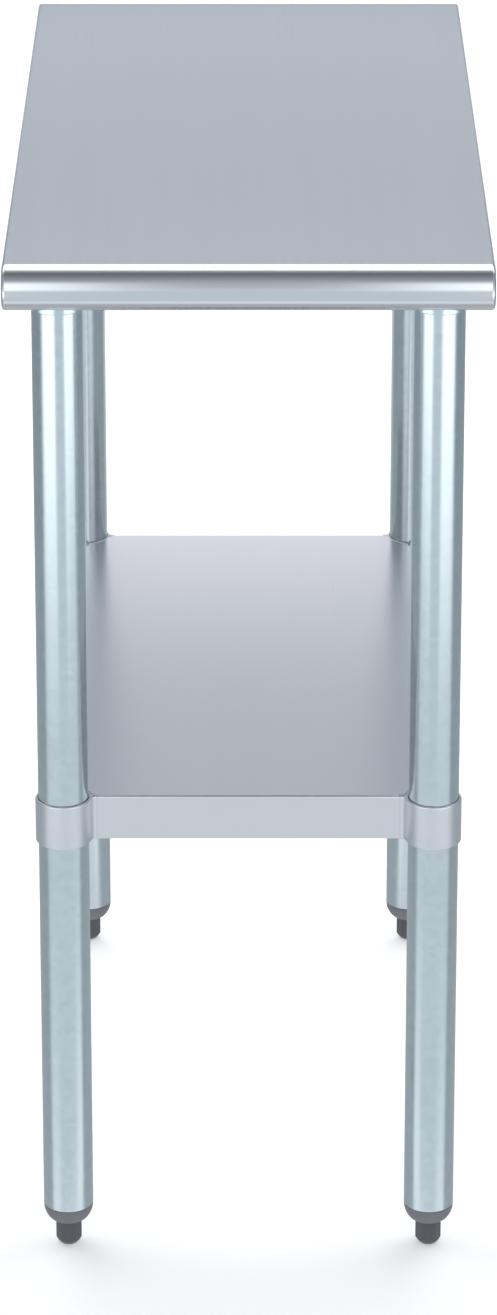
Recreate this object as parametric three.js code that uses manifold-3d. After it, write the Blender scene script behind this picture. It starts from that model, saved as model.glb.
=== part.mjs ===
// Stainless work table: a bull-nosed sheet top on four tube legs, with an undershelf that slides
// on the legs and four screw feet.
// Millimetres, +Z up, front at -Y. The origin is on the floor, under the middle of the table.

import * as THREE from 'three';
import { mergeVertices } from 'three/addons/utils/BufferGeometryUtils.js';
import Module from 'manifold-3d';

const wasm = await Module();
wasm.setup();

// ---- Driving dimensions ---------------------------------------------------------------------

const WIDTH = 381;
const DEPTH = 762;
const HEIGHT = 896;
const SHEET = 1.2; // 18 gauge
const GAP = 0.3; // between pieces that touch

const ROLL_RADIUS = 18.5; // bullnose along the front and the rear edge
const TOP_ROUND = 3; // bend at the straight side edges
const TOP_LIP = 12; // edge turned inwards under the top

const LEG_X = 151.1; // leg axes
const LEG_Y = 285;
const LEG_RADIUS = 20.65; // 1 5/8 in tube
const LEG_BOTTOM = 37.6;

const HAT_DEPTH = 22; // stiffening channels
const HAT_WEB = 60;
const HAT_FLANGE = 15;
const CROSS_LENGTH = 356;

const SOCKET_RADIUS = 22.8;
const SOCKET_BOTTOM = 834;
const SOCKET_PLATE = 60;
const PLATE_THICKNESS = 3;

const SHELF_TOP = 410;
const SHELF_DEPTH = 38; // height of the turned-down flanges
const SHELF_ROUND = 2.5;
const SHELF_LIP = 10;
const SHELF_HAT_LENGTH = 520;

const COLLAR_RADIUS = 23;
const COLLAR_BORE = 21;
const COLLAR_FILLET = 5;
const COLLAR_ROUND = 1.2;
const EAR_LENGTH = 14; // lugs welded behind the shelf flanges
const EAR_THICKNESS = 3;

const SCREW_RADIUS = 4; // M8 set screw
const SCREW_KEY = 4; // across the flats of its hexagon socket
const BOSS_RADIUS = 7;

const FOOT_HEIGHT = 21.9; // hexagonal foot
const FOOT_FLATS = 19;
const FOOT_CHAMFER_HEIGHT = 4.5;
const FOOT_CHAMFER_IN = 3.7;
const STEM_RADIUS = 6; // M12 stem
const STEM_TOP = 98;
const SPIGOT_RADIUS = 4;
const SPIGOT_DEPTH = 10;
const INSERT_RADIUS = 20.6;
const INSERT_NECK = 12;
const INSERT_TOP = 74;
const NUT_BOTTOM = 56.3;
const NUT_HEIGHT = 10;

const FACETS = 32; // sides of a round tube
const SMALL_FACETS = 16;
const ROLL_STEPS = 12; // around the bullnose
const BEND_STEPS = 3; // around a sheet bend

const TOP_UNDERSIDE = HEIGHT - SHEET;
const HAT_TOP = TOP_UNDERSIDE - GAP;
const PLATE_TOP = HAT_TOP - HAT_DEPTH - GAP;
const LEG_TOP = PLATE_TOP - PLATE_THICKNESS - GAP;
const SHELF_BOTTOM = SHELF_TOP - SHELF_DEPTH;
const CROSS_HALF_WIDTH = HAT_WEB / 2 + HAT_FLANGE;

const CORNERS = [
  { name: 'front_left', x: -LEG_X, y: -LEG_Y, turn: 0 },
  { name: 'front_right', x: LEG_X, y: -LEG_Y, turn: Math.PI / 2 },
  { name: 'rear_right', x: LEG_X, y: LEG_Y, turn: Math.PI },
  { name: 'rear_left', x: -LEG_X, y: LEG_Y, turn: -Math.PI / 2 },
];

// ---- Materials ------------------------------------------------------------------------------

function metal(color, roughness) {
  return new THREE.MeshStandardMaterial({ color, roughness, metalness: 1 });
}

const stainless = metal(0xb9bfc6, 0.32);
const shelfSteel = metal(0xbcc0c8, 0.42);
const galvanized = metal(0xb4c3ca, 0.36);
const castAluminium = metal(0xc4c6cf, 0.38);
const zincPlated = metal(0xb6b8ba, 0.35);
const greyPlastic = new THREE.MeshStandardMaterial({ color: 0x7b7e83, roughness: 0.6 });
const darkPlastic = new THREE.MeshStandardMaterial({ color: 0x595b5f, roughness: 0.55 });

// ---- Geometry helpers -----------------------------------------------------------------------

// Local x, y of a section and its extrusion direction, as world axes.
const ALONG_X = [[0, 1, 0], [0, 0, 1], [1, 0, 0]];
const ALONG_Y = [[1, 0, 0], [0, 0, 1], [0, -1, 0]];

// A bar of constant section, centred on its own length, its end edges rounded by `round`.
function bar(shape, length, axes, steps, round = 0) {
  const geometry = new THREE.ExtrudeGeometry(shape, {
    depth: length - 2 * round,
    bevelEnabled: round > 0,
    bevelThickness: round,
    bevelSize: round,
    bevelOffset: -round,
    bevelSegments: 2,
    curveSegments: steps,
  });
  geometry.translate(0, 0, round - length / 2);
  const [x, y, z] = axes.map((axis) => new THREE.Vector3(...axis));
  return geometry.applyMatrix4(new THREE.Matrix4().makeBasis(x, y, z));
}

// An upright prism from z = bottom to z = top.
function prism(shape, bottom, top, round = 0) {
  const geometry = new THREE.ExtrudeGeometry(shape, {
    depth: top - bottom - 2 * round,
    bevelEnabled: round > 0,
    bevelThickness: round,
    bevelSize: round,
    bevelOffset: -round,
    bevelSegments: 1,
    curveSegments: 8,
  });
  return geometry.translate(0, 0, bottom + round);
}

// A turned piece on the Z axis, from [radius, height] pairs that run up the outside.
function turned(profile, segments = FACETS) {
  const points = profile.map(([radius, height]) => new THREE.Vector2(radius, height));
  return new THREE.LatheGeometry(points, segments).rotateX(Math.PI / 2);
}

// A solid cylinder on the Z axis.
function rod(radius, bottom, top, segments = FACETS) {
  return turned([[0, bottom], [radius, bottom], [radius, top], [0, top]], segments);
}

// A straight tube on the Z axis.
function tube(outer, inner, bottom, top) {
  return turned([[inner, bottom], [outer, bottom], [outer, top], [inner, top], [inner, bottom]]);
}

function block(low, high) {
  const size = high.map((value, axis) => value - low[axis]);
  const middle = high.map((value, axis) => (value + low[axis]) / 2);
  return new THREE.BoxGeometry(...size).translate(...middle);
}

// Lays a piece made along Z so that it points horizontally, halfway between +X and +Y.
function alongDiagonal(geometry, height) {
  return geometry.rotateY(Math.PI / 2).rotateZ(Math.PI / 4).translate(0, 0, height);
}

function hexagon(flats) {
  const radius = flats / Math.sqrt(3);
  const shape = new THREE.Shape();
  for (let corner = 0; corner < 6; corner += 1) {
    const angle = (corner * Math.PI) / 3;
    const step = corner === 0 ? 'moveTo' : 'lineTo';
    shape[step](radius * Math.cos(angle), radius * Math.sin(angle));
  }
  return shape;
}

function polygon(points) {
  return new THREE.Shape(points.map(([x, y]) => new THREE.Vector2(x, y)));
}

// ---- Joining and cutting --------------------------------------------------------------------

function solid(geometry) {
  const bare = geometry.clone();
  bare.deleteAttribute('normal');
  bare.deleteAttribute('uv');
  const merged = mergeVertices(bare);
  const vertProperties = new Float32Array(merged.attributes.position.array);
  const triVerts = new Uint32Array(merged.index.array);
  return new wasm.Manifold(new wasm.Mesh({ numProp: 3, vertProperties, triVerts }));
}

function toGeometry(manifold) {
  const { vertProperties, triVerts } = manifold.getMesh();
  const geometry = new THREE.BufferGeometry();
  geometry.setAttribute('position', new THREE.BufferAttribute(vertProperties, 3));
  geometry.setIndex(new THREE.BufferAttribute(triVerts, 1));
  geometry.computeVertexNormals();
  return geometry;
}

function combine(base, { add = [], cut = [] }) {
  let result = solid(base);
  for (const geometry of add) {
    result = result.add(solid(geometry));
  }
  for (const geometry of cut) {
    result = result.subtract(solid(geometry));
  }
  return toGeometry(result);
}

// ---- Top ------------------------------------------------------------------------------------

// Side view of the top: flat above and below, with a half round at each end.
function rollSection(inset) {
  const radius = ROLL_RADIUS - inset;
  const straight = DEPTH / 2 - ROLL_RADIUS;
  const shape = new THREE.Shape();
  shape.moveTo(-straight, -radius);
  shape.lineTo(straight, -radius);
  shape.absarc(straight, 0, radius, -Math.PI / 2, Math.PI / 2, false);
  shape.lineTo(-straight, radius);
  shape.absarc(-straight, 0, radius, Math.PI / 2, 1.5 * Math.PI, false);
  return shape;
}

// One folded sheet: rolled front and rear edges, straight turned-down sides, open underneath.
function topSheet() {
  const outside = bar(rollSection(0), WIDTH, ALONG_X, ROLL_STEPS, TOP_ROUND);
  const hollowWidth = WIDTH - 2 * SHEET;
  const inside = bar(rollSection(SHEET), hollowWidth, ALONG_X, ROLL_STEPS, TOP_ROUND - SHEET);
  const openX = WIDTH / 2 - TOP_LIP;
  const openY = DEPTH / 2 - ROLL_RADIUS - TOP_LIP;
  const opening = block([-openX, -openY, -ROLL_RADIUS - 1], [openX, openY, 0]);
  return combine(outside, { cut: [inside, opening] }).translate(0, 0, HEIGHT - ROLL_RADIUS);
}

// ---- Stiffening channels --------------------------------------------------------------------

// A hat section that hangs from z = 0 by its two flanges.
function hatSection(web) {
  const half = web / 2;
  const outer = half + HAT_FLANGE;
  const inner = half - SHEET;
  return polygon([
    [-outer, 0], [-outer, -SHEET], [-half, -SHEET], [-half, -HAT_DEPTH],
    [half, -HAT_DEPTH], [half, -SHEET], [outer, -SHEET], [outer, 0],
    [inner, 0], [inner, SHEET - HAT_DEPTH], [-inner, SHEET - HAT_DEPTH], [-inner, 0],
  ]);
}

function crossChannel() {
  return bar(hatSection(HAT_WEB), CROSS_LENGTH, ALONG_X, 1);
}

function middleChannel() {
  return bar(hatSection(HAT_WEB), 2 * (LEG_Y - CROSS_HALF_WIDTH - GAP), ALONG_Y, 1);
}

function shelfChannel() {
  return bar(hatSection(HAT_WEB), SHELF_HAT_LENGTH, ALONG_Y, 1);
}

// ---- Set screws and their bosses ------------------------------------------------------------

function setScrew(start, end, height) {
  const body = rod(SCREW_RADIUS, start, end, SMALL_FACETS);
  const key = prism(hexagon(SCREW_KEY), end - SCREW_KEY, end + 1);
  return alongDiagonal(combine(body, { cut: [key] }), height);
}

function screwBoss(start, end, height) {
  return alongDiagonal(rod(BOSS_RADIUS, start, end, SMALL_FACETS), height);
}

function screwHole(start, end, height) {
  return alongDiagonal(rod(SCREW_RADIUS + GAP, start, end, SMALL_FACETS), height);
}

// ---- Leg sockets and legs -------------------------------------------------------------------

const SOCKET_SCREW_HEIGHT = 849;
const BOSS_LENGTH = 7;
const SCREW_STAND_OUT = 3;

// A cup that opens downwards, with a square plate on top and a boss for its set screw.
function legSocket() {
  const plateBottom = PLATE_TOP - PLATE_THICKNESS;
  const half = SOCKET_PLATE / 2;
  const bore = LEG_RADIUS + GAP;
  const bossEnd = SOCKET_RADIUS + BOSS_LENGTH;
  return combine(rod(SOCKET_RADIUS, SOCKET_BOTTOM, PLATE_TOP - 1), {
    add: [
      block([-half, -half, plateBottom], [half, half, PLATE_TOP]),
      screwBoss(bore, bossEnd, SOCKET_SCREW_HEIGHT),
    ],
    cut: [
      rod(bore, SOCKET_BOTTOM - 1, plateBottom),
      screwHole(bore - 5, bossEnd + 1, SOCKET_SCREW_HEIGHT),
    ],
  });
}

function legTube() {
  return tube(LEG_RADIUS, LEG_RADIUS - SHEET, LEG_BOTTOM, LEG_TOP);
}

// ---- Undershelf -----------------------------------------------------------------------------

const COLLAR_REACH = Math.sqrt((COLLAR_RADIUS + COLLAR_FILLET) ** 2 - COLLAR_FILLET ** 2);
const EAR_FACE = SHEET + GAP;
const EAR_BACK = EAR_FACE + EAR_THICKNESS;
const COLLAR_SCREW_HEIGHT = SHELF_TOP - SHELF_DEPTH / 2;

// Seen from one end: flat on top, rounded into both sides.
function panSection(width, height, round) {
  const half = width / 2;
  const shape = new THREE.Shape();
  shape.moveTo(-half, -height);
  shape.lineTo(half, -height);
  shape.absarc(half - round, -round, round, 0, Math.PI / 2, false);
  shape.absarc(round - half, -round, round, Math.PI / 2, Math.PI, false);
  return shape;
}

function roundedTray(inset, height) {
  const round = SHELF_ROUND - inset;
  const acrossX = panSection(2 * (LEG_X - inset), height, round);
  const acrossY = panSection(2 * (LEG_Y - inset), height, round);
  const lengthways = solid(bar(acrossX, 2 * LEG_Y, ALONG_Y, BEND_STEPS));
  const sideways = solid(bar(acrossY, 2 * LEG_X, ALONG_X, BEND_STEPS));
  return lengthways.intersect(sideways);
}

// The room that a collar takes out of the shelf's corner, with the collar's axis at the origin.
function collarRoom() {
  const low = -SHELF_DEPTH - 1;
  const reach = COLLAR_REACH + GAP;
  const back = EAR_BACK + GAP;
  return solid(rod(COLLAR_RADIUS + GAP, low, 1))
    .add(solid(block([-1, -1, low], [reach, back, 1])))
    .add(solid(block([-1, -1, low], [back, reach, 1])));
}

// A pan with its four edges turned down and in, and a corner cut out for each collar.
function shelfPan() {
  const openX = LEG_X - SHELF_LIP;
  const openY = LEG_Y - SHELF_LIP;
  const inside = roundedTray(SHEET, SHELF_DEPTH - 2 * SHEET).translate([0, 0, -SHEET]);
  const opening = solid(block([-openX, -openY, -SHELF_DEPTH - 1], [openX, openY, -SHELF_DEPTH / 2]));
  let pan = roundedTray(0, SHELF_DEPTH).subtract(inside).subtract(opening);
  for (const { x, y, turn } of CORNERS) {
    const degrees = THREE.MathUtils.radToDeg(turn);
    pan = pan.subtract(collarRoom().rotate([0, 0, degrees]).translate([x, y, 0]));
  }
  return toGeometry(pan).translate(0, 0, SHELF_TOP);
}

// Plan of a collar: a ring that runs by a hollow fillet into each shelf flange.
// The flanges' outer faces lie on the ring's own +X and +Y axes.
function collarPlan() {
  const tilt = Math.asin(COLLAR_FILLET / (COLLAR_RADIUS + COLLAR_FILLET));
  const earAngle = Math.asin(EAR_BACK / COLLAR_RADIUS);
  const quarter = Math.PI / 2;
  const shape = new THREE.Shape();
  shape.moveTo(COLLAR_REACH, 0);
  shape.lineTo(COLLAR_REACH, EAR_BACK);
  shape.absarc(0, 0, COLLAR_RADIUS, earAngle, quarter - earAngle, false);
  shape.lineTo(EAR_BACK, COLLAR_REACH);
  shape.absarc(-COLLAR_FILLET, COLLAR_REACH, COLLAR_FILLET, 0, tilt - quarter, true);
  shape.absarc(0, 0, COLLAR_RADIUS, quarter + tilt, 4 * quarter - tilt, false);
  shape.absarc(COLLAR_REACH, -COLLAR_FILLET, COLLAR_FILLET, 2 * quarter - tilt, quarter, true);
  return shape;
}

// A lug behind a shelf flange, along X.
function ear() {
  const inside = COLLAR_REACH - COLLAR_ROUND - 1;
  const low = SHELF_BOTTOM + SHEET + 2;
  const high = SHELF_TOP - SHELF_ROUND - GAP;
  return [[inside, EAR_FACE, low], [COLLAR_REACH + EAR_LENGTH, EAR_BACK, high]];
}

function shelfCollar() {
  const [low, high] = ear();
  const swap = ([x, y, z]) => [y, x, z];
  const bossEnd = COLLAR_RADIUS + BOSS_LENGTH;
  return combine(prism(collarPlan(), SHELF_BOTTOM, SHELF_TOP, COLLAR_ROUND), {
    add: [
      block(low, high),
      block(swap(low), swap(high)),
      screwBoss(COLLAR_BORE + 0.5, bossEnd, COLLAR_SCREW_HEIGHT),
    ],
    cut: [
      rod(COLLAR_BORE, SHELF_BOTTOM - 1, SHELF_TOP + 1),
      screwHole(COLLAR_BORE - 5, bossEnd + 1, COLLAR_SCREW_HEIGHT),
    ],
  });
}

// ---- Feet -----------------------------------------------------------------------------------

// A plastic plug in the end of the leg: a dome outside, a shank inside and a pocket for the nut.
function footInsert() {
  const bottom = FOOT_HEIGHT + GAP;
  const shoulder = LEG_BOTTOM - GAP;
  const shank = LEG_RADIUS - SHEET - GAP;
  const pocket = FOOT_FLATS / Math.sqrt(3) + GAP;
  const hole = STEM_RADIUS + GAP;
  const dome = new THREE.CubicBezierCurve(
    new THREE.Vector2(INSERT_NECK, bottom),
    new THREE.Vector2(INSERT_NECK + 4.5, bottom + 1.5),
    new THREE.Vector2(INSERT_RADIUS, bottom + 7.5),
    new THREE.Vector2(INSERT_RADIUS, shoulder),
  );
  const outside = dome.getPoints(5).map((point) => [point.x, point.y]);
  return turned([
    [hole, bottom],
    ...outside,
    [shank, shoulder],
    [shank, INSERT_TOP],
    [pocket, INSERT_TOP],
    [pocket, NUT_BOTTOM - GAP],
    [hole, NUT_BOTTOM - GAP],
    [hole, bottom],
  ], 24);
}

function footNut() {
  const body = prism(hexagon(FOOT_FLATS), NUT_BOTTOM, NUT_BOTTOM + NUT_HEIGHT);
  const hole = rod(STEM_RADIUS + GAP, NUT_BOTTOM - 1, NUT_BOTTOM + NUT_HEIGHT + 1, SMALL_FACETS);
  return combine(body, { cut: [hole] });
}

// The stem's lower end is a thinner spigot that stands in the hexagonal foot.
function footStem() {
  const spigotBottom = FOOT_HEIGHT - SPIGOT_DEPTH + GAP;
  const shoulder = FOOT_HEIGHT + GAP;
  const chamfer = 1;
  return turned([
    [0, spigotBottom],
    [SPIGOT_RADIUS, spigotBottom],
    [SPIGOT_RADIUS, shoulder],
    [STEM_RADIUS, shoulder],
    [STEM_RADIUS, STEM_TOP - chamfer],
    [STEM_RADIUS - chamfer, STEM_TOP],
    [0, STEM_TOP],
  ], SMALL_FACETS);
}

function hexFoot() {
  const corner = FOOT_FLATS / Math.sqrt(3);
  const envelope = turned([
    [0, 0],
    [corner - FOOT_CHAMFER_IN, 0],
    [corner + 0.1, FOOT_CHAMFER_HEIGHT],
    [corner + 0.1, FOOT_HEIGHT],
    [0, FOOT_HEIGHT],
  ]);
  const hole = rod(SPIGOT_RADIUS + GAP, FOOT_HEIGHT - SPIGOT_DEPTH, FOOT_HEIGHT + 1, SMALL_FACETS);
  const body = solid(prism(hexagon(FOOT_FLATS), 0, FOOT_HEIGHT));
  return toGeometry(body.intersect(solid(envelope)).subtract(solid(hole)));
}

// ---- Assembly -------------------------------------------------------------------------------

function piece(name, geometry, material) {
  const mesh = new THREE.Mesh(geometry, material);
  mesh.name = name;
  return mesh;
}

function frameMembers() {
  const group = new THREE.Group();
  group.add(piece('top_sheet', topSheet(), stainless));
  for (const [name, side] of [['front', -1], ['rear', 1]]) {
    const channel = piece(`cross_channel_${name}`, crossChannel(), galvanized);
    channel.position.set(0, side * LEG_Y, HAT_TOP);
    group.add(channel);
  }
  const middle = piece('middle_channel', middleChannel(), galvanized);
  middle.position.z = HAT_TOP;
  group.add(middle);
  return group;
}

// A corner's pieces turn with it, except that its nut and foot keep a flat towards the front.
function cornerPieces(corner) {
  const group = new THREE.Group();
  group.position.set(corner.x, corner.y, 0);
  group.rotation.z = corner.turn;
  const socketScrew = [LEG_RADIUS + GAP, SOCKET_RADIUS + BOSS_LENGTH + SCREW_STAND_OUT];
  const collarScrew = [LEG_RADIUS + GAP, COLLAR_RADIUS + BOSS_LENGTH + SCREW_STAND_OUT];
  const parts = [
    ['leg_socket', legSocket(), galvanized],
    ['socket_screw', setScrew(...socketScrew, SOCKET_SCREW_HEIGHT), zincPlated],
    ['leg_tube', legTube(), galvanized],
    ['shelf_collar', shelfCollar(), castAluminium],
    ['collar_screw', setScrew(...collarScrew, COLLAR_SCREW_HEIGHT), zincPlated],
    ['foot_insert', footInsert(), greyPlastic],
    ['foot_nut', footNut().rotateZ(-corner.turn), zincPlated],
    ['foot_stem', footStem(), zincPlated],
    ['hex_foot', hexFoot().rotateZ(-corner.turn), darkPlastic],
  ];
  for (const [name, geometry, material] of parts) {
    group.add(piece(`${name}_${corner.name}`, geometry, material));
  }
  return group;
}

function shelf() {
  const group = new THREE.Group();
  group.add(piece('shelf_pan', shelfPan(), shelfSteel));
  const channel = piece('shelf_channel', shelfChannel(), galvanized);
  channel.position.z = SHELF_TOP - SHEET - GAP;
  group.add(channel);
  return group;
}

const table = new THREE.Group();
table.add(frameMembers());
table.add(shelf());
for (const corner of CORNERS) {
  table.add(cornerPieces(corner));
}

export default table;
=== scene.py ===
"""Stainless work table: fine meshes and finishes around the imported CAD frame.

Metres, +Z up, front at -Y. Lengths that are easier to read in millimetres are multiplied by MM.
"""

import math

import bmesh
import bpy
from mathutils import Matrix, Vector


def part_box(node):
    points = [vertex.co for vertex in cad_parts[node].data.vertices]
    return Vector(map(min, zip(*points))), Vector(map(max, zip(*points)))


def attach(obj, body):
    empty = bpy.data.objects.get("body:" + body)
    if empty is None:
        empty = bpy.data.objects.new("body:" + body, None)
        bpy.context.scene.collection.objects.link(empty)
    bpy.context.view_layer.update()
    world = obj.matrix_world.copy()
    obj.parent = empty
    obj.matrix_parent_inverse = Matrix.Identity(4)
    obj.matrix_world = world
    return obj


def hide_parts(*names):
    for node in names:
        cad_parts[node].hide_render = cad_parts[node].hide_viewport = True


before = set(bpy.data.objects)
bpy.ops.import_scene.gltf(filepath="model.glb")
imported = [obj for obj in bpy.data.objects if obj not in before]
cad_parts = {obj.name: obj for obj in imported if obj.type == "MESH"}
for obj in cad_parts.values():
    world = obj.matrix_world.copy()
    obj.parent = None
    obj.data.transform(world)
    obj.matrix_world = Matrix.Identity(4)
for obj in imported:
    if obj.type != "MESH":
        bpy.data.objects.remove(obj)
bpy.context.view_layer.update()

MM = 0.001

# ---- Sizes that the CAD boxes don't give ----------------------------------------------------

SHEET = 1.2 * MM
TOP_ROUND = 3 * MM
TOP_LIP = 12 * MM
SHELF_ROUND = 2.5 * MM
SHELF_LIP = 10 * MM
HAT_WEB = 60 * MM
HAT_BEND = 2.5 * MM
PLATE_THICKNESS = 3 * MM
CLEARANCE = 0.3 * MM
COLLAR_RADIUS = 23 * MM
COLLAR_BORE = 21 * MM
COLLAR_FILLET = 5 * MM
COLLAR_RIM = 1.6 * MM
COLLAR_LOWER_RIM = 0.9 * MM
COLLAR_LEAD = 0.5 * MM
EAR_THICKNESS = 3 * MM
EAR_LENGTH = 14 * MM
EAR_STEP = 0.1 * MM
EAR_OVERLAP = 3 * MM
EAR_RISE = 3.2 * MM
EAR_ROUND = 0.8 * MM
BOSS_RADIUS = 7 * MM
BOSS_LENGTH = 7 * MM
SCREW_RADIUS = 4 * MM
SCREW_PITCH = 1.25 * MM
SCREW_CHAMFER = 0.9 * MM
SCREW_KEY = 4 * MM
HOLE_OVERRUN = 5 * MM
SOCKET_RADIUS = 22.8 * MM
SOCKET_SCREW_HEIGHT = 849 * MM
STEM_RADIUS = 6 * MM
STEM_PITCH = 1.75 * MM
STEM_CHAMFER = 1.1 * MM
SPIGOT_RADIUS = 4 * MM
SPIGOT_DEPTH = 10 * MM
FOOT_FLATS = 19 * MM
FOOT_CHAMFER_HEIGHT = 4.5 * MM
FOOT_CHAMFER_IN = 3.7 * MM
INSERT_NECK = 12 * MM

# How far each corner is turned about Z from the front left one, in degrees.
TURNS = {"front_left": 0, "front_right": 90, "rear_right": 180, "rear_left": 270}

# Points round a turned piece, and the angle in degrees from which an edge stays sharp.
ROUND_STEPS = 96
SHARP_ANGLE = 32


# ---- Camera ---------------------------------------------------------------------------------

# Place in metres, pitch below level in degrees, lens in mm on a 36 mm sensor.
CAMERA_PLACE = (0, -4.052, 2.159)
CAMERA_PITCH = 18.89
CAMERA_LENS = 138.5
CAMERA_SENSOR = 36
CAMERA_SHIFT = -0.30


def make_camera():
    data = bpy.data.cameras.new("camera")
    data.sensor_width = CAMERA_SENSOR
    data.lens = CAMERA_LENS
    data.shift_y = CAMERA_SHIFT
    camera = bpy.data.objects.new("camera", data)
    camera.location = CAMERA_PLACE
    camera.rotation_euler = (math.radians(90 - CAMERA_PITCH), 0, 0)
    bpy.context.scene.collection.objects.link(camera)
    bpy.context.scene.camera = camera


# ---- Node helpers ---------------------------------------------------------------------------

def shade(color, factor):
    return (*(channel * factor for channel in color), 1)


class Tree:
    """Adds nodes to one node tree. An input is a value, or the output socket that feeds it."""

    def __init__(self, tree):
        self.tree = tree
        tree.nodes.clear()

    def add(self, kind, inputs=(), **settings):
        node = self.tree.nodes.new(kind)
        for key, value in settings.items():
            setattr(node, key, value)
        for key, value in dict(inputs).items():
            if isinstance(value, bpy.types.NodeSocket):
                self.tree.links.new(value, node.inputs[key])
            else:
                node.inputs[key].default_value = value
        return node

    def math(self, operation, a, b=0.0):
        return self.add("ShaderNodeMath", {0: a, 1: b}, operation=operation).outputs[0]

    def step(self, value, start, end):
        """0 before start, 1 after end, smooth between."""
        inputs = {"Value": value, "From Min": start, "From Max": end}
        node = self.add("ShaderNodeMapRange", inputs, interpolation_type="SMOOTHSTEP")
        return node.outputs["Result"]

    def between(self, value, low, high):
        """A 0 to 1 value, spread from low to high."""
        inputs = {"Value": value, "To Min": low, "To Max": high}
        return self.add("ShaderNodeMapRange", inputs).outputs["Result"]

    def around(self, value, middle, reach):
        """A 0 to 1 value, spread evenly to both sides of a middle."""
        return self.between(value, middle - reach, middle + reach)

    def tint(self, factor, color, part):
        """The colour, darker or lighter by up to this part of itself."""
        return self.mix(factor, shade(color, 1 - part), shade(color, 1 + part))

    def mix(self, factor, a, b):
        node = self.add("ShaderNodeMix", data_type="RGBA")
        for socket, value in ((node.inputs[0], factor), (node.inputs[6], a), (node.inputs[7], b)):
            if isinstance(value, bpy.types.NodeSocket):
                self.tree.links.new(value, socket)
            else:
                socket.default_value = value
        return node.outputs[2]

    def ramp(self, factor, stops):
        """A colour from (position, colour) stops."""
        node = self.add("ShaderNodeValToRGB", {0: factor})
        elements = node.color_ramp.elements
        halfway = 0.5
        while len(elements) < len(stops):
            elements.new(halfway)
        for element, (position, color) in zip(elements, stops):
            element.position = position
            element.color = (*color, 1)
        return node.outputs[0]

    def noise(self, place, scale, detail=2.0, stretch=(1, 1, 1)):
        """Noise over object space. A small factor in stretch draws it out along that axis."""
        mapped = self.add("ShaderNodeMapping", {"Vector": place, "Scale": stretch})
        inputs = {"Vector": mapped.outputs[0], "Scale": scale, "Detail": detail}
        return self.add("ShaderNodeTexNoise", inputs).outputs[0]


def new_material(name):
    material = bpy.data.materials.new(name)
    material.use_nodes = True
    tree = Tree(material.node_tree)
    return material, tree, tree.add("ShaderNodeTexCoord").outputs["Object"]


def finish_material(tree, color, roughness, height, strength, distance, **constants):
    """A shader with a bump, and the material's output. The constants go on its sockets."""
    bump = tree.add(
        "ShaderNodeBump", {"Height": height, "Strength": strength, "Distance": distance}
    )
    inputs = {"Base Color": color, "Roughness": roughness, "Normal": bump.outputs[0]}
    shader = tree.add("ShaderNodeBsdfPrincipled", inputs)
    for key, value in constants.items():
        shader.inputs[key].default_value = value
    tree.add("ShaderNodeOutputMaterial", {"Surface": shader.outputs[0]})


# ---- Materials ------------------------------------------------------------------------------

def brushed(name, color, roughness, grain):
    """Satin stainless: fine lines along the grain, with faint wider streaks."""
    material, tree, place = new_material(name)
    lines = tree.noise(place, scale=700, detail=1, stretch=grain)
    streaks = tree.noise(place, scale=60, detail=1, stretch=grain)
    cloud = tree.noise(place, scale=6, detail=2)
    share = 0.5
    tone = tree.math("MULTIPLY", tree.math("ADD", streaks, cloud), share)
    tinted = tree.tint(tone, color, part=0.02)
    rough = tree.around(lines, roughness, reach=0.025)
    finish_material(tree, tinted, rough, lines, strength=0.02, distance=0.01 * MM, Metallic=1.0)
    return material


def galvanized(name, color, roughness):
    """Smooth zinc: small crystals that differ a little in tone and gloss."""
    material, tree, place = new_material(name)
    crystals_per_metre = 160.0
    crystal_share = 0.45
    inputs = {"Vector": place, "Scale": crystals_per_metre}
    crystals = tree.add("ShaderNodeTexVoronoi", inputs).outputs["Color"]
    crystal = tree.add("ShaderNodeSeparateColor", {0: crystals}).outputs[0]
    cloud = tree.noise(place, scale=14, detail=3)
    drawn = tree.noise(place, scale=500, detail=2, stretch=(1, 1, 0.02))
    crystal_tone = tree.math("MULTIPLY", crystal, crystal_share)
    cloud_tone = tree.math("MULTIPLY", cloud, 1 - crystal_share)
    tone = tree.math("ADD", crystal_tone, cloud_tone)
    tinted = tree.tint(tone, color, part=0.05)
    rough = tree.around(tone, roughness, reach=0.04)
    finish_material(tree, tinted, rough, drawn, strength=0.08, distance=0.05 * MM, Metallic=1.0)
    return material


def cast(name, color, roughness):
    """Tumbled casting: a fine pebbled skin."""
    material, tree, place = new_material(name)
    pebbles = tree.noise(place, scale=1400, detail=4)
    cloud = tree.noise(place, scale=60, detail=3)
    tinted = tree.tint(cloud, color, part=0.04)
    rough = tree.around(pebbles, roughness, reach=0.06)
    finish_material(tree, tinted, rough, pebbles, strength=0.15, distance=0.08 * MM, Metallic=1.0)
    return material


def plated(name, color, roughness):
    """Zinc plate over turned steel: a faint blue and straw mottle."""
    material, tree, place = new_material(name)
    mottle = tree.noise(place, scale=130, detail=3)
    fine = tree.noise(place, scale=2200, detail=2)
    red, green, blue = color
    bluish = (red * 0.96, green, blue * 1.05, 1)
    straw = (red * 1.04, green, blue * 0.93, 1)
    tinted = tree.mix(mottle, bluish, straw)
    rough = tree.between(fine, low=roughness - 0.05, high=roughness + 0.08)
    finish_material(tree, tinted, rough, fine, strength=0.1, distance=0.04 * MM, Metallic=1.0)
    return material


def moulded(name, color, roughness):
    """Spark-eroded plastic: fine grain and slight flow marks."""
    material, tree, place = new_material(name)
    grain = tree.noise(place, scale=3000, detail=3)
    flow = tree.noise(place, scale=90, detail=3, stretch=(1, 1, 0.4))
    tinted = tree.tint(flow, color, part=0.12)
    rough = tree.around(grain, roughness, reach=0.08)
    finish_material(tree, tinted, rough, grain, strength=0.25, distance=0.06 * MM)
    return material


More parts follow.
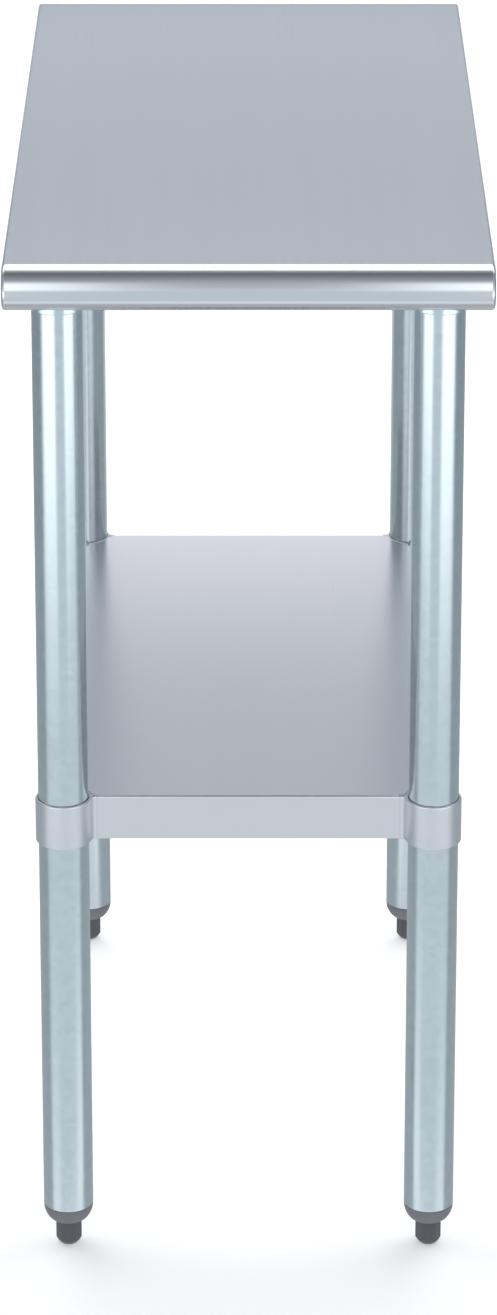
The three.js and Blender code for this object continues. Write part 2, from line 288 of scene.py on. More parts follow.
def make_materials():
    """Each slot's material. The grain of the sheets runs from front to rear."""
    along_y = (1, 0.003, 0.003)
    return {
        "stainless_top": brushed("stainless_top", (0.69, 0.72, 0.755), 0.20, along_y),
        "shelf_steel": brushed("shelf_steel", (0.79, 0.78, 0.81), 0.26, along_y),
        "galvanized_steel": galvanized("galvanized_steel", (0.66, 0.735, 0.775), 0.20),
        "cast_aluminium": cast("cast_aluminium", (0.74, 0.75, 0.80), 0.34),
        "zinc_plated_steel": plated("zinc_plated_steel", (0.68, 0.69, 0.70), 0.30),
        "grey_plastic": moulded("grey_plastic", (0.235, 0.24, 0.252), 0.46),
        "dark_plastic": moulded("dark_plastic", (0.118, 0.118, 0.128), 0.42),
    }


# ---- Outlines -------------------------------------------------------------------------------

def rounded(corners, steps=6, closed=True):
    """A 2-D outline through (a, b, radius) corners, each rounded by its radius."""
    points = []
    count = len(corners)
    for index, (a, b, radius) in enumerate(corners):
        here = Vector((a, b))
        is_end = not closed and index in (0, count - 1)
        if radius <= 0 or is_end:
            points.append(here)
            continue
        before = Vector(corners[index - 1][:2]) - here
        after = Vector(corners[(index + 1) % count][:2]) - here
        half = before.angle(after) / 2
        inwards = (before.normalized() + after.normalized()).normalized()
        middle = here + inwards * (radius / math.sin(half))
        start = here + before.normalized() * (radius / math.tan(half)) - middle
        end = here + after.normalized() * (radius / math.tan(half)) - middle
        sweep = start.angle_signed(end)
        for step in range(steps + 1):
            spoke = start.copy()
            spoke.rotate(Matrix.Rotation(-sweep * step / steps, 2))
            points.append(middle + spoke)
    return points


def inset(outline, distance):
    """The outline moved inwards. It runs anticlockwise."""
    points = []
    for index, here in enumerate(outline):
        along = outline[(index + 1) % len(outline)] - outline[index - 1]
        points.append(here + Vector((-along.y, along.x)).normalized() * distance)
    return points


def arc(centre, radius, start, end, steps):
    """Points on a circle, from start to end in degrees, both ends included."""
    points = []
    for step in range(steps + 1):
        angle = math.radians(start + (end - start) * step / steps)
        points.append(Vector((centre[0] + radius * math.cos(angle),
                              centre[1] + radius * math.sin(angle))))
    return points


def bezier(ends, steps):
    """A cubic curve from the first to the last of four (a, b) ends, aimed by the other two."""
    points = []
    for step in range(steps + 1):
        t = step / steps
        weights = ((1 - t) ** 3, 3 * t * (1 - t) ** 2, 3 * t * t * (1 - t), t ** 3)
        points.append([sum(w * end[axis] for w, end in zip(weights, ends)) for axis in (0, 1)])
    return points


def quarter(steps):
    """Angles from 0 to 90 degrees, in radians."""
    return [math.radians(90 * step / steps) for step in range(steps + 1)]


def circle(radius, height, steps, limit=None):
    """A level ring about Z. limit(angle) caps the radius."""
    ring = []
    for step in range(steps):
        angle = 2 * math.pi * step / steps
        reach = min(radius, limit(angle)) if limit else radius
        ring.append((reach * math.cos(angle), reach * math.sin(angle), height))
    return ring


# ---- Meshes ---------------------------------------------------------------------------------

def build(name, parts, sharp=SHARP_ANGLE):
    """An object from one or more (vertices, faces) skins."""
    vertices, faces = [], []
    for part_vertices, part_faces in parts:
        first = len(vertices)
        vertices += [tuple(vertex) for vertex in part_vertices]
        faces += [[first + index for index in face] for face in part_faces]
    mesh = bpy.data.meshes.new(name)
    mesh.from_pydata(vertices, [], faces)
    piece = bpy.data.objects.new(name, mesh)
    bpy.context.scene.collection.objects.link(piece)
    smooth(piece, sharp)
    return piece


def smooth(piece, sharp=SHARP_ANGLE):
    piece.data.shade_smooth()
    piece.data.set_sharp_from_angle(angle=math.radians(sharp))


def skin(rings, closed=False):
    """A skin over equal rings of points. A closed one joins its last ring to its first;
    an open one has a face over each end ring."""
    size = len(rings[0])
    vertices = [point for ring in rings for point in ring]
    faces = []
    spans = len(rings) if closed else len(rings) - 1
    for ring in range(spans):
        base, above = ring * size, (ring + 1) % len(rings) * size
        for index in range(size):
            other = (index + 1) % size
            faces.append([base + index, base + other, above + other, above + index])
    if not closed:
        faces.append(list(reversed(range(size))))
        faces.append([spans * size + index for index in range(size)])
    return vertices, faces


def turned(profile, closed=False, steps=ROUND_STEPS, limit=None):
    """A skin turned about Z from (radius, height) points. limit(angle) caps the radius."""
    return skin([circle(radius, height, steps, limit) for radius, height in profile], closed)


def bar(outline, start, end, axis):
    """A bar of constant section along X or Y. The outline is (across, up)."""
    if axis == "X":
        rings = [[(at, point[0], point[1]) for point in outline] for at in (start, end)]
    else:
        rings = [[(point[0], at, point[1]) for point in outline] for at in (end, start)]
    return skin(rings)


def block(low, high, round_by=0.0):
    """A box whose upright edges and upper and lower rims are rounded. The rims go in by a
    little less than the edges' radius, so that the inset corners don't fold."""
    rim_share = 0.9
    corners = [(low[0], low[1]), (high[0], low[1]), (high[0], high[1]), (low[0], high[1])]
    outline = rounded([(*corner, round_by) for corner in corners], 4)
    if not round_by:
        return skin([[(*point, height) for point in outline] for height in (low[2], high[2])])
    rings = []
    for angle in quarter(3):
        rim = round_by * (1 - math.sin(angle)) * rim_share
        height = low[2] + round_by * (1 - math.cos(angle))
        rings.append([(*point, height) for point in inset(outline, rim)])
    top = [[(x, y, low[2] + high[2] - z) for x, y, z in ring] for ring in reversed(rings)]
    return skin(rings + top)


def moved(part, matrix):
    vertices, faces = part
    return [matrix @ Vector(vertex) for vertex in vertices], faces


def combine(piece, other, operation):
    """A boolean of two objects, applied. The other object goes."""
    modifier = piece.modifiers.new("combine", "BOOLEAN")
    modifier.object = other
    modifier.operation = operation
    modifier.solver = "EXACT"
    shown = bpy.context.evaluated_depsgraph_get()
    result = bpy.data.meshes.new_from_object(piece.evaluated_get(shown))
    piece.modifiers.clear()
    piece.data = result
    bpy.data.objects.remove(other)
    return piece


def heal(piece):
    """Merges the slivers that a boolean leaves."""
    distance = 0.002 * MM
    shape = bmesh.new()
    shape.from_mesh(piece.data)
    bmesh.ops.remove_doubles(shape, verts=shape.verts, dist=distance)
    bmesh.ops.dissolve_degenerate(shape, edges=shape.edges, dist=distance)
    shape.to_mesh(piece.data)
    shape.free()


def cut(piece, part):
    combine(piece, build("cutter", [part]), "DIFFERENCE")


def join(piece, part):
    combine(piece, build("joined", [part]), "UNION")


def dress(piece, node, body, slot):
    """Finish, ride and stand-in of a piece that replaces one CAD node."""
    piece.data.materials.clear()
    piece.data.materials.append(MATERIALS[slot])
    weighted = piece.modifiers.new("weighted_normal", "WEIGHTED_NORMAL")
    weighted.keep_sharp = True
    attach(piece, body)
    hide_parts(node)


# ---- Corners --------------------------------------------------------------------------------

def leg_axis(corner):
    low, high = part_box(f"leg_tube_{corner}")
    return (low + high) / 2


def corner_matrix(corner, turns=True):
    """From a corner's own axes, +X and +Y towards the table's middle, to the table's."""
    axis = leg_axis(corner)
    degrees = TURNS[corner] if turns else 0
    turn = Matrix.Rotation(math.radians(degrees), 4, "Z")
    return Matrix.Translation((axis.x, axis.y, 0)) @ turn


def at_corners(maker, node, body, slot, turns=True):
    """One piece, made once in a corner's own axes and copied to all four. One that doesn't
    turn with its corner keeps its own front to the table's front."""
    pattern = maker()
    for corner in TURNS:
        piece = pattern.copy()
        piece.data = pattern.data.copy()
        piece.name = f"{node}_{corner}_visual"
        piece.data.transform(corner_matrix(corner, turns))
        bpy.context.scene.collection.objects.link(piece)
        dress(piece, f"{node}_{corner}", body.format(corner), slot)
    bpy.data.objects.remove(pattern)


def box_of(node):
    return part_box(f"{node}_front_left")


DIAGONAL = Matrix.Rotation(math.radians(45), 4, "Z") @ Matrix.Rotation(math.radians(90), 4, "Y")


def along_diagonal(part, height):
    """Lays a part made along Z so that it points halfway between +X and +Y."""
    return moved(part, Matrix.Translation((0, 0, height)) @ DIAGONAL)


def hexagon(flats, soften=0.3 * MM):
    """A limit on the radius that makes a turned piece hexagonal, with eased corners."""
    def limit(angle):
        from_flat = angle % (math.pi / 3) - math.pi / 6
        return min(flats / 2 / math.cos(from_flat), flats / math.sqrt(3) - soften)
    return limit


# ---- Top ------------------------------------------------------------------------------------

def stadium(half_length, radius, centre_height, steps=40):
    """A level slot's outline, (along, up), with round ends."""
    front = arc((-half_length, centre_height), radius, 90, 270, steps)
    rear = arc((half_length, centre_height), radius, -90, 90, steps)
    return front + rear


def rolled_body(low, high, less):
    """The top's outer shape, made smaller by `less` all round."""
    radius = (high.z - low.z) / 2
    straight = (high.y - low.y) / 2 - radius
    middle = (high.z + low.z) / 2
    round_by = TOP_ROUND - less
    half_width = high.x - less
    rings = []
    for angle in quarter(10):
        at = half_width - round_by * (1 - math.sin(angle))
        outline = stadium(straight, radius - less - round_by * (1 - math.cos(angle)), middle)
        rings += [[(side * at, *point) for point in outline] for side in (-1, 1)]
    return skin(sorted(rings, key=lambda ring: ring[0][0]))


def make_top():
    low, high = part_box("top_sheet")
    piece = build("top_sheet_visual", [rolled_body(low, high, 0)])
    cut(piece, rolled_body(low, high, SHEET))
    radius = (high.z - low.z) / 2
    reach = (high.x - TOP_LIP, high.y - radius - TOP_LIP)
    cut(piece, block((-reach[0], -reach[1], low.z - radius), (*reach, low.z + radius)))
    smooth(piece)
    dress(piece, "top_sheet", "frame", "stainless_top")


# ---- Channels -------------------------------------------------------------------------------

def hat_outline(low, high, across):
    """A hat section that hangs by its flanges. across is 0 for X or 1 for Y."""
    outer = (high[across] - low[across]) / 2
    half = HAT_WEB / 2
    inner = half - SHEET
    top, bottom = high.z, low.z
    under, floor = top - SHEET, bottom + SHEET
    wide, tight = HAT_BEND, HAT_BEND - SHEET
    return rounded([
        (-outer, top, 0), (-outer, under, 0), (-half, under, tight), (-half, bottom, wide),
        (half, bottom, wide), (half, under, tight), (outer, under, 0), (outer, top, 0),
        (inner, top, wide), (inner, floor, tight), (-inner, floor, tight), (-inner, top, wide),
    ])


def make_channel(node, body, axis):
    low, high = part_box(node)
    across = 1 if axis == "X" else 0
    middle = (low + high) / 2
    outline = [point + Vector((middle[across], 0)) for point in hat_outline(low, high, across)]
    start, end = (low.x, high.x) if axis == "X" else (low.y, high.y)
    piece = build(f"{node}_visual", [bar(outline, start, end, axis)])
    dress(piece, node, body, "galvanized_steel")


# ---- Legs and sockets -----------------------------------------------------------------------

def make_leg():
    low, high = box_of("leg_tube")
    radius = (high.x - low.x) / 2
    inner = radius - SHEET
    edge = 0.45 * MM
    profile = rounded([
        (inner, low.z, edge), (radius, low.z, edge), (radius, high.z, edge), (inner, high.z, edge),
    ], 4)
    return build("leg", [turned(profile, closed=True, steps=128)])


def boss(start, end, height):
    """The round boss that a set screw goes through."""
    edge = 0.6 * MM
    core = SCREW_RADIUS / 2
    profile = rounded([(BOSS_RADIUS, start, 0), (BOSS_RADIUS, end, edge), (core, end, 0)],
                      closed=False)
    return along_diagonal(turned(profile, steps=48), height)


def screw_hole(start, end, height):
    """A clear hole with a lead-in at its outer end."""
    hole = SCREW_RADIUS + CLEARANCE
    lead = 0.4 * MM
    past = 1 * MM
    profile = [(hole, start), (hole, end - lead), (hole + lead + past, end + past)]
    return along_diagonal(turned(profile, steps=48), height)


def make_socket():
    low, high = box_of("leg_socket")
    plate_bottom = high.z - PLATE_THICKNESS
    leg_low, leg_high = box_of("leg_tube")
    bore = (leg_high.x - leg_low.x) / 2 + CLEARANCE
    weld = 2.5 * MM
    edge = 0.8 * MM
    plate_round = 0.9 * MM
    cup_top = plate_bottom + 1 * MM
    cup = rounded([
        (bore, low.z, edge), (SOCKET_RADIUS, low.z, edge),
        (SOCKET_RADIUS, plate_bottom - weld, weld), (SOCKET_RADIUS + weld, plate_bottom, 0),
        (SOCKET_RADIUS + weld, cup_top, 0), (bore, cup_top, 0),
    ])
    half = (high.x - low.x) / 2
    boss_start = bore + 0.2 * MM
    boss_end = SOCKET_RADIUS + BOSS_LENGTH
    piece = build("socket", [turned(cup, closed=True)])
    join(piece, block((-half, -half, plate_bottom), (half, half, high.z), plate_round))
    join(piece, boss(boss_start, boss_end, SOCKET_SCREW_HEIGHT))
    cut(piece, screw_hole(bore - HOLE_OVERRUN, boss_end, SOCKET_SCREW_HEIGHT))
    heal(piece)
    smooth(piece)
    return piece


# ---- Screws ---------------------------------------------------------------------------------

# A thread's depth and half the width of its groove, in pitches, and its rings per pitch.
THREAD_DEPTH = 0.58
THREAD_HALF_GROOVE = 0.42
THREAD_RINGS = 6


def threaded(radius, pitch, start, end, steps, ends=1.5):
    """Rings of a right-hand thread. It fades out over `ends` pitches at both ends."""
    depth = pitch * THREAD_DEPTH
    count = math.ceil((end - start) / pitch * THREAD_RINGS)
    rings = []
    for level in range(count + 1):
        height = start + (end - start) * level / count
        from_end = min(height - start, end - height) / pitch
        fade = min(1.0, from_end / ends)
        ring = []
        for step in range(steps):
            turn = step / steps
            phase = (height / pitch - turn) % 1.0
            groove = max(0.0, 1 - abs(phase - 0.5) / THREAD_HALF_GROOVE)
            reach = radius - depth * fade * groove
            angle = 2 * math.pi * turn
            ring.append((reach * math.cos(angle), reach * math.sin(angle), height))
        rings.append(ring)
    return rings


def set_screw(start, end, height):
    """A grub screw with a chamfered point and a hexagon socket."""
    steps = 36
    point = SCREW_CHAMFER
    rim = SCREW_CHAMFER / 2
    key = hexagon(SCREW_KEY, soften=0.05 * MM)
    mouth = SCREW_KEY * 0.62
    mouth_depth = 0.25 * MM
    key_depth = SCREW_KEY
    rings = [circle(SCREW_RADIUS - point, start, steps)]
    rings += threaded(SCREW_RADIUS, SCREW_PITCH, start + point, end - rim, steps, ends=0.5)
    rings += [
        circle(SCREW_RADIUS - rim, end, steps),
        circle(mouth, end, steps),
        circle(SCREW_KEY, end - mouth_depth, steps, key),
        circle(SCREW_KEY, end - key_depth, steps, key),
    ]
    return along_diagonal(skin(rings), height)


def screw_span(node):
    """Where a set screw starts and ends along its corner's diagonal, from its CAD box."""
    low, high = box_of(node)
    axis = leg_axis("front_left")
    across = SCREW_RADIUS / math.sqrt(2)
    start = (low.x - axis.x + across) * math.sqrt(2)
    end = (high.x - axis.x - across) * math.sqrt(2)
    return start, end, (low.z + high.z) / 2


def make_socket_screw():
    return build("socket_screw", [set_screw(*screw_span("socket_screw"))], sharp=40)


def make_collar_screw():
    return build("collar_screw", [set_screw(*screw_span("collar_screw"))], sharp=40)


# ---- Undershelf -----------------------------------------------------------------------------

COLLAR_REACH = math.sqrt((COLLAR_RADIUS + COLLAR_FILLET) ** 2 - COLLAR_FILLET ** 2)
EAR_FACE = SHEET + CLEARANCE
EAR_BACK = EAR_FACE + EAR_THICKNESS


def collar_outline():
    """Plan of a collar: a ring that runs by a hollow fillet into each shelf flange."""
    tilt = math.degrees(math.asin(COLLAR_FILLET / (COLLAR_RADIUS + COLLAR_FILLET)))
    ear = math.degrees(math.asin(EAR_BACK / COLLAR_RADIUS))
    outline = [Vector((COLLAR_REACH, 0)), Vector((COLLAR_REACH, EAR_BACK))]
    outline += arc((0, 0), COLLAR_RADIUS, ear, 90 - ear, 24)
    outline += [Vector((EAR_BACK, COLLAR_REACH)), Vector((0, COLLAR_REACH))]
    outline += arc((-COLLAR_FILLET, COLLAR_REACH), COLLAR_FILLET, 0, tilt - 90, 14)[1:]
    outline += arc((0, 0), COLLAR_RADIUS, 90 + tilt, 360 - tilt, 84)[1:-1]
    outline += arc((COLLAR_REACH, -COLLAR_FILLET), COLLAR_FILLET, 180 - tilt, 90, 14)[:-1]
    return outline


def collar_rim(outline, rim, face, side):
    """Rings of a rounded rim, from its level face to the full outline. side is 1 for a rim
    that rises from its face and -1 for one that goes down."""
    rings = []
    for angle in quarter(6):
        edge = inset(outline, rim * (1 - math.sin(angle)))
        height = face + side * rim * (1 - math.cos(angle))
        rings.append([(*point, height) for point in edge])
    return rings


def collar_bore(low, high):
    """(radius, height) points of a collar's bore, from the top down, with rounded lead-ins."""
    eased = COLLAR_LEAD * 0.3
    return [
        (COLLAR_BORE + COLLAR_LEAD, high.z), (COLLAR_BORE + eased, high.z - eased),
        (COLLAR_BORE, high.z - COLLAR_LEAD), (COLLAR_BORE, low.z + COLLAR_LEAD),
        (COLLAR_BORE + eased, low.z + eased), (COLLAR_BORE + COLLAR_LEAD, low.z),
    ]


def collar_ears(low, high):
    """The two ears inside the shelf's flanges, the second one mirrored over the diagonal."""
    ear_low = (COLLAR_REACH - EAR_OVERLAP, EAR_FACE, low.z + EAR_RISE)
    ear_high = (COLLAR_REACH + EAR_LENGTH, EAR_BACK - EAR_STEP, high.z - SHELF_ROUND - CLEARANCE)
    ear = block(ear_low, ear_high, EAR_ROUND)
    swap_x_and_y = Matrix(((0, 1, 0, 0), (1, 0, 0, 0), (0, 0, 1, 0), (0, 0, 0, 1)))
    vertices, faces = moved(ear, swap_x_and_y)
    return ear, (vertices, [face[::-1] for face in faces])


def make_collar():
    low, high = box_of("shelf_collar")
    outline = collar_outline()
    rings = collar_rim(outline, COLLAR_LOWER_RIM, low.z, 1)
    rings += reversed(collar_rim(outline, COLLAR_RIM, high.z, -1))
    for radius, height in collar_bore(low, high):
        rings.append([(*(point.normalized() * radius), height) for point in outline])
    piece = build("collar", [skin(rings, closed=True)])
    for ear in collar_ears(low, high):
        join(piece, ear)
    middle = (low.z + high.z) / 2
    boss_start = COLLAR_BORE + 0.5 * MM
    boss_end = COLLAR_RADIUS + BOSS_LENGTH
    join(piece, boss(boss_start, boss_end, middle))
    cut(piece, screw_hole(COLLAR_BORE - HOLE_OVERRUN, boss_end, middle))
    heal(piece)
    smooth(piece)
    return piece


def tray(low, high, less):
    """The shelf's outer shape, made smaller by `less` all round."""
    round_by = SHELF_ROUND - less
    bottom = low.z + less

    def outline(reach):
        return rounded([
            (-reach, bottom, 0), (reach, bottom, 0),
            (reach, high.z - less, round_by), (-reach, high.z - less, round_by),
        ], 8)

    long_way = build("tray", [bar(outline(high.x - less), low.y + less, high.y - less, "Y")])
    short_way = build("tray_across", [bar(outline(high.y - less), low.x + less, high.x - less, "X")])
    return combine(long_way, short_way, "INTERSECT")


def notch_corner(piece, corner, low, high):
    """Cuts the room for one collar out of the shelf."""
    touch = 0.03 * MM
    past = 10 * MM
    behind = 1 * MM
    bottom, top = low.z - past, high.z + past
    place = corner_matrix(corner)
    radius = COLLAR_RADIUS + touch
    cut(piece, moved(turned([(radius, bottom), (radius, top)], steps=144), place))
    reach = COLLAR_REACH + touch
    back = EAR_BACK + touch
    for far in ((reach, back), (back, reach)):
        cut(piece, moved(block((-behind, -behind, bottom), (*far, top)), place))


def make_pan():
    low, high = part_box("shelf_pan")
    piece = tray(low, high, 0)
    combine(piece, tray(low, high, SHEET), "DIFFERENCE")
    inner = (high.x - SHELF_LIP, high.y - SHELF_LIP)
    past = 10 * MM
    cut(piece, block((-inner[0], -inner[1], low.z - past), (*inner, low.z + past)))
    for corner in TURNS:
        notch_corner(piece, corner, low, high)
    smooth(piece)
    piece.name = "shelf_pan_visual"
    dress(piece, "shelf_pan", "undershelf", "shelf_steel")


# ---- Feet -----------------------------------------------------------------------------------

def make_insert():
    low, high = box_of("foot_insert")
    radius = (high.x - low.x) / 2
    leg_low, leg_high = box_of("leg_tube")
    shoulder = leg_low.z - CLEARANCE
    shank = (leg_high.x - leg_low.x) / 2 - SHEET - CLEARANCE
    seat = box_of("foot_nut")[0].z - CLEARANCE
    pocket = FOOT_FLATS / math.sqrt(3) + CLEARANCE
    hole = STEM_RADIUS + CLEARANCE
    rim = 0.6 * MM
    dome = bezier([
        (INSERT_NECK, low.z), (INSERT_NECK + 4.5 * MM, low.z + 1.5 * MM),
        (radius, low.z + 7.5 * MM), (radius, shoulder - rim),
    ], 24)
    inside = rounded([
        (radius, shoulder - rim, 0), (radius, shoulder, 0.5 * MM), (shank, shoulder, 0.3 * MM),
        (shank, high.z, 1.5 * MM), (pocket, high.z, 0.8 * MM), (pocket, seat, 0.4 * MM),
        (hole, seat, 0.3 * MM), (hole, low.z, 0.4 * MM), (INSERT_NECK, low.z, 0),
    ], 4, closed=False)[1:-1]
    return build("insert", [turned(dome + inside, closed=True)])


def make_nut():
    low, high = box_of("foot_nut")
    corner = FOOT_FLATS / math.sqrt(3)
    chamfer = 1 * MM
    shoulder = corner - 1.6 * MM
    hole = STEM_RADIUS + CLEARANCE
    lead = 0.6 * MM
    profile = [
        (hole + lead, low.z), (shoulder, low.z), (corner, low.z + chamfer),
        (corner, high.z - chamfer), (shoulder, high.z), (hole + lead, high.z),
        (hole, high.z - lead), (hole, low.z + lead),
    ]
    return build("nut", [turned(profile, closed=True, limit=hexagon(FOOT_FLATS))])


def make_stem():
    low, high = box_of("foot_stem")
    steps = 40
    shoulder = box_of("hex_foot")[1].z + CLEARANCE
    rings = [circle(SPIGOT_RADIUS, low.z, steps), circle(SPIGOT_RADIUS, shoulder, steps)]
    rings += threaded(STEM_RADIUS, STEM_PITCH, shoulder, high.z - STEM_CHAMFER, steps)
    rings.append(circle(STEM_RADIUS - STEM_CHAMFER, high.z, steps))
    return build("stem", [skin(rings)], sharp=50)


def make_hex_foot():
    """A hexagonal foot with a conical toe. The cone has many rings, because the flats cut it
    along curves."""
    low, high = box_of("hex_foot")
    corner = FOOT_FLATS / math.sqrt(3)
    hole = SPIGOT_RADIUS + CLEARANCE
    toe = corner - FOOT_CHAMFER_IN
    waist = low.z + FOOT_CHAMFER_HEIGHT
    toe_edge = 0.8 * MM
    outline = rounded([
        (hole, low.z, 0), (toe, low.z, toe_edge), (corner, waist, toe_edge),
        (corner, high.z, 0.7 * MM), (hole, high.z, 0.5 * MM), (hole, high.z - SPIGOT_DEPTH, 0),
    ], closed=False)
    cone_rings = 10
    cone_rise = 1 * MM
    profile = []
    for here, after in zip(outline, outline[1:]):
        is_cone = here.y < waist and after.y - here.y > cone_rise
        spans = cone_rings if is_cone else 1
        profile += [here.lerp(after, step / spans) for step in range(spans)]
    profile.append(outline[-1])
    hexagonal = turned(profile, steps=120, limit=hexagon(FOOT_FLATS))
    return build("hex_foot", [hexagonal], sharp=28)


# ---- Studio ---------------------------------------------------------------------------------

TENT_RADIUS = 1.15
TENT_BOTTOM = -0.6
TENT_TOP = 1.75
OVERHEAD_WHITE = (2.2, 2.2, 2.2, 1)
PANEL_WHITE = (1.6, 1.64, 1.66, 1)
FLOOR_REACH = 22.0
FLOOR_BEND = 6.0
FLOOR_TOP = 14.0


def along_ramp(tree, value, low, high, stops):
    """A colour by a value that runs from low to high, from (value, colour) stops."""
    inputs = {"Value": value, "From Min": low, "From Max": high}
    factor = tree.add("ShaderNodeMapRange", inputs).outputs["Result"]
    return tree.ramp(factor, [((at - low) / (high - low), color) for at, color in stops])


def band(tree, value, rise, fall):
    """1 between the rise and the fall, 0 outside them. Each is a (start, end) pair."""
    risen = tree.step(value, *rise)
    not_fallen = tree.math("SUBTRACT", 1.0, tree.step(value, *fall))
    return tree.math("MULTIPLY", risen, not_fallen)


def from_front(tree, x, y):
    """The angle from the front, in degrees, the same to the left and to the right."""
    angle = tree.math("ARCTAN2", x, tree.math("MULTIPLY", y, -1.0))
    return tree.math("MULTIPLY", tree.math("ABSOLUTE", angle), math.degrees(1))


def make_world():
    """Soft white overhead towards the rear, dim overhead towards the front, and a lighter
    band low in front. Angles are in degrees: the elevation, the angle from the front, and
    the angle up and over from the rear."""
    world = bpy.data.worlds.new("studio")
    bpy.context.scene.world = world
    world.use_nodes = True
    tree = Tree(world.node_tree)
    direction = tree.add("ShaderNodeTexCoord").outputs["Generated"]
    x, y, z = tree.add("ShaderNodeSeparateXYZ", {0: direction}).outputs
    elevation = tree.math("MULTIPLY", tree.math("ARCSINE", z), math.degrees(1))
    front = along_ramp(tree, elevation, -90, 90, [
        (-88, (0.50, 0.50, 0.51)), (-74, (0.58, 0.60, 0.62)), (-69, (1.00, 1.02, 1.05)),
        (-56, (1.05, 1.07, 1.10)), (-50, (0.75, 0.79, 0.83)), (35, (0.45, 0.46, 0.49)),
        (60, (0.29, 0.30, 0.33)), (80, (0.15, 0.16, 0.17)),
    ])
    rear = along_ramp(tree, elevation, -90, 90, [
        (-88, (0.50, 0.50, 0.51)), (-60, (0.60, 0.62, 0.65)), (-35, (0.43, 0.465, 0.485)),
        (0, (0.32, 0.36, 0.38)), (40, (0.35, 0.36, 0.38)),
    ])
    behind = tree.step(from_front(tree, x, y), 66, 80)
    color = tree.mix(behind, front, rear)
    over = tree.math("MULTIPLY", tree.math("ARCTAN2", z, y), math.degrees(1))
    overhead = band(tree, over, rise=(12, 16), fall=(73, 79))
    color = tree.mix(overhead, color, OVERHEAD_WHITE)
    background = tree.add("ShaderNodeBackground", {"Color": color, "Strength": 1.0})
    tree.add("ShaderNodeOutputWorld", {"Surface": background.outputs[0]})


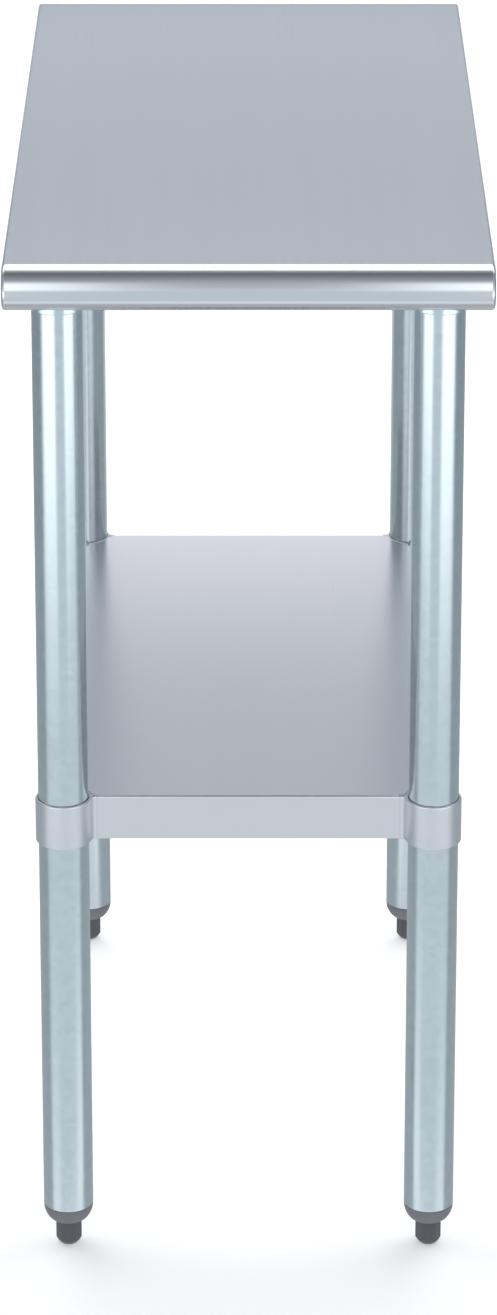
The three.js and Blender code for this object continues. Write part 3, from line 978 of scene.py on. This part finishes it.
def make_tent():
    """A round cloth wall that only reflections see, with dim sides. In front, to the left and
    to the right, are a bright panel, a gleam higher up and a faint glow low down. The wall
    behind is brightest at shelf height and above it, with a weaker band over the top."""
    vertices, faces = turned([(TENT_RADIUS, TENT_BOTTOM), (TENT_RADIUS, TENT_TOP)])
    tent = build("tent", [(vertices, faces[:-2])], sharp=60)
    material, tree, place = new_material("tent_cloth")
    x, y, z = tree.add("ShaderNodeSeparateXYZ", {0: place}).outputs
    angle = from_front(tree, x, y)
    front = along_ramp(tree, z, TENT_BOTTOM, TENT_TOP, [
        (-0.6, (1.05, 1.07, 1.10)), (-0.52, (1.00, 1.03, 1.07)), (-0.46, (0.67, 0.73, 0.77)),
        (0.5, (0.67, 0.73, 0.76)), (0.88, (0.67, 0.70, 0.74)),
        (1.16, (0.49, 0.51, 0.54)), (1.53, (0.44, 0.45, 0.48)),
    ])
    side = along_ramp(tree, z, TENT_BOTTOM, TENT_TOP, [
        (-0.5, (0.42, 0.46, 0.48)), (-0.2, (0.38, 0.42, 0.435)), (0.45, (0.30, 0.35, 0.37)),
        (1.0, (0.26, 0.28, 0.30)),
    ])
    rear = along_ramp(tree, z, TENT_BOTTOM, TENT_TOP, [
        (-0.1, (0.40, 0.43, 0.45)), (0.5, (0.80, 0.84, 0.88)), (0.70, (1.04, 1.06, 1.10)),
        (0.80, (0.79, 0.83, 0.88)), (0.90, (0.52, 0.57, 0.61)), (0.98, (0.34, 0.38, 0.41)),
        (1.06, (0.34, 0.38, 0.41)), (1.13, (0.72, 0.75, 0.81)), (1.2, (0.57, 0.60, 0.64)),
        (1.4, (0.50, 0.53, 0.575)),
    ])
    color = tree.mix(tree.step(angle, 56, 70), front, side)
    color = tree.mix(tree.step(angle, 138, 160), color, rear)
    panel_width = band(tree, angle, rise=(12, 20), fall=(50, 66))
    panel_height = band(tree, z, rise=(0.05, 0.55), fall=(0.66, 0.86))
    panel = tree.math("MULTIPLY", panel_width, panel_height)
    gleam_width = band(tree, angle, rise=(4, 12), fall=(16, 30))
    gleam_height = band(tree, z, rise=(0.76, 0.92), fall=(1.25, 1.6))
    gleam = tree.math("MULTIPLY", gleam_width, gleam_height)
    glow_width = band(tree, angle, rise=(20, 42), fall=(50, 66))
    glow_height = tree.math("SUBTRACT", 1.0, tree.step(z, -0.5, -0.1))
    glow_strength = 0.28
    glow = tree.math("MULTIPLY", tree.math("MULTIPLY", glow_width, glow_height), glow_strength)
    lit = color
    for part in (panel, glow, gleam):
        lit = tree.mix(part, lit, PANEL_WHITE)
    shader = tree.add("ShaderNodeEmission", {"Color": lit})
    tree.add("ShaderNodeOutputMaterial", {"Surface": shader.outputs[0]})
    tent.data.materials.append(material)
    tent.visible_camera = False
    tent.visible_diffuse = False
    tent.visible_shadow = False


def make_floor():
    """A pale floor that curves up into a far wall all round."""
    centre_radius = 0.02
    bend_centre = (FLOOR_REACH - FLOOR_BEND, FLOOR_BEND)
    bend = arc(bend_centre, FLOOR_BEND, -90, 0, 12)
    vertices, faces = turned([(centre_radius, 0), *bend, (FLOOR_REACH, FLOOR_TOP)])
    floor = build("floor", [(vertices, [face[::-1] for face in faces[:-1]])], sharp=60)
    material, tree, place = new_material("floor_paint")
    cloud = tree.noise(place, scale=0.6, detail=2)
    tone = tree.mix(cloud, (0.86, 0.865, 0.87, 1), (0.89, 0.89, 0.89, 1))
    inputs = {"Base Color": tone, "Emission Color": (1, 1, 1, 1)}
    shader = tree.add("ShaderNodeBsdfPrincipled", inputs)
    shader.inputs["Roughness"].default_value = 0.9
    shader.inputs["Emission Strength"].default_value = 0.30
    tree.add("ShaderNodeOutputMaterial", {"Surface": shader.outputs[0]})
    floor.data.materials.append(material)
    floor.visible_glossy = False
    floor.visible_diffuse = False
    floor.visible_shadow = False


# ---- The table ------------------------------------------------------------------------------

make_camera()
MATERIALS = make_materials()

make_top()
make_channel("cross_channel_front", "frame", "X")
make_channel("cross_channel_rear", "frame", "X")
make_channel("middle_channel", "frame", "Y")
make_channel("shelf_channel", "undershelf", "Y")
make_pan()
at_corners(make_leg, "leg_tube", "frame", "galvanized_steel")
at_corners(make_socket, "leg_socket", "frame", "galvanized_steel")
at_corners(make_socket_screw, "socket_screw", "frame", "zinc_plated_steel")
at_corners(make_collar, "shelf_collar", "undershelf", "cast_aluminium")
at_corners(make_collar_screw, "collar_screw", "undershelf", "zinc_plated_steel")
at_corners(make_insert, "foot_insert", "frame", "grey_plastic")
at_corners(make_nut, "foot_nut", "frame", "zinc_plated_steel", turns=False)
at_corners(make_stem, "foot_stem", "stem_{}", "zinc_plated_steel")
at_corners(make_hex_foot, "hex_foot", "foot_{}", "dark_plastic", turns=False)

make_world()
make_tent()
make_floor()
bpy.context.scene.view_settings.view_transform = "Standard"
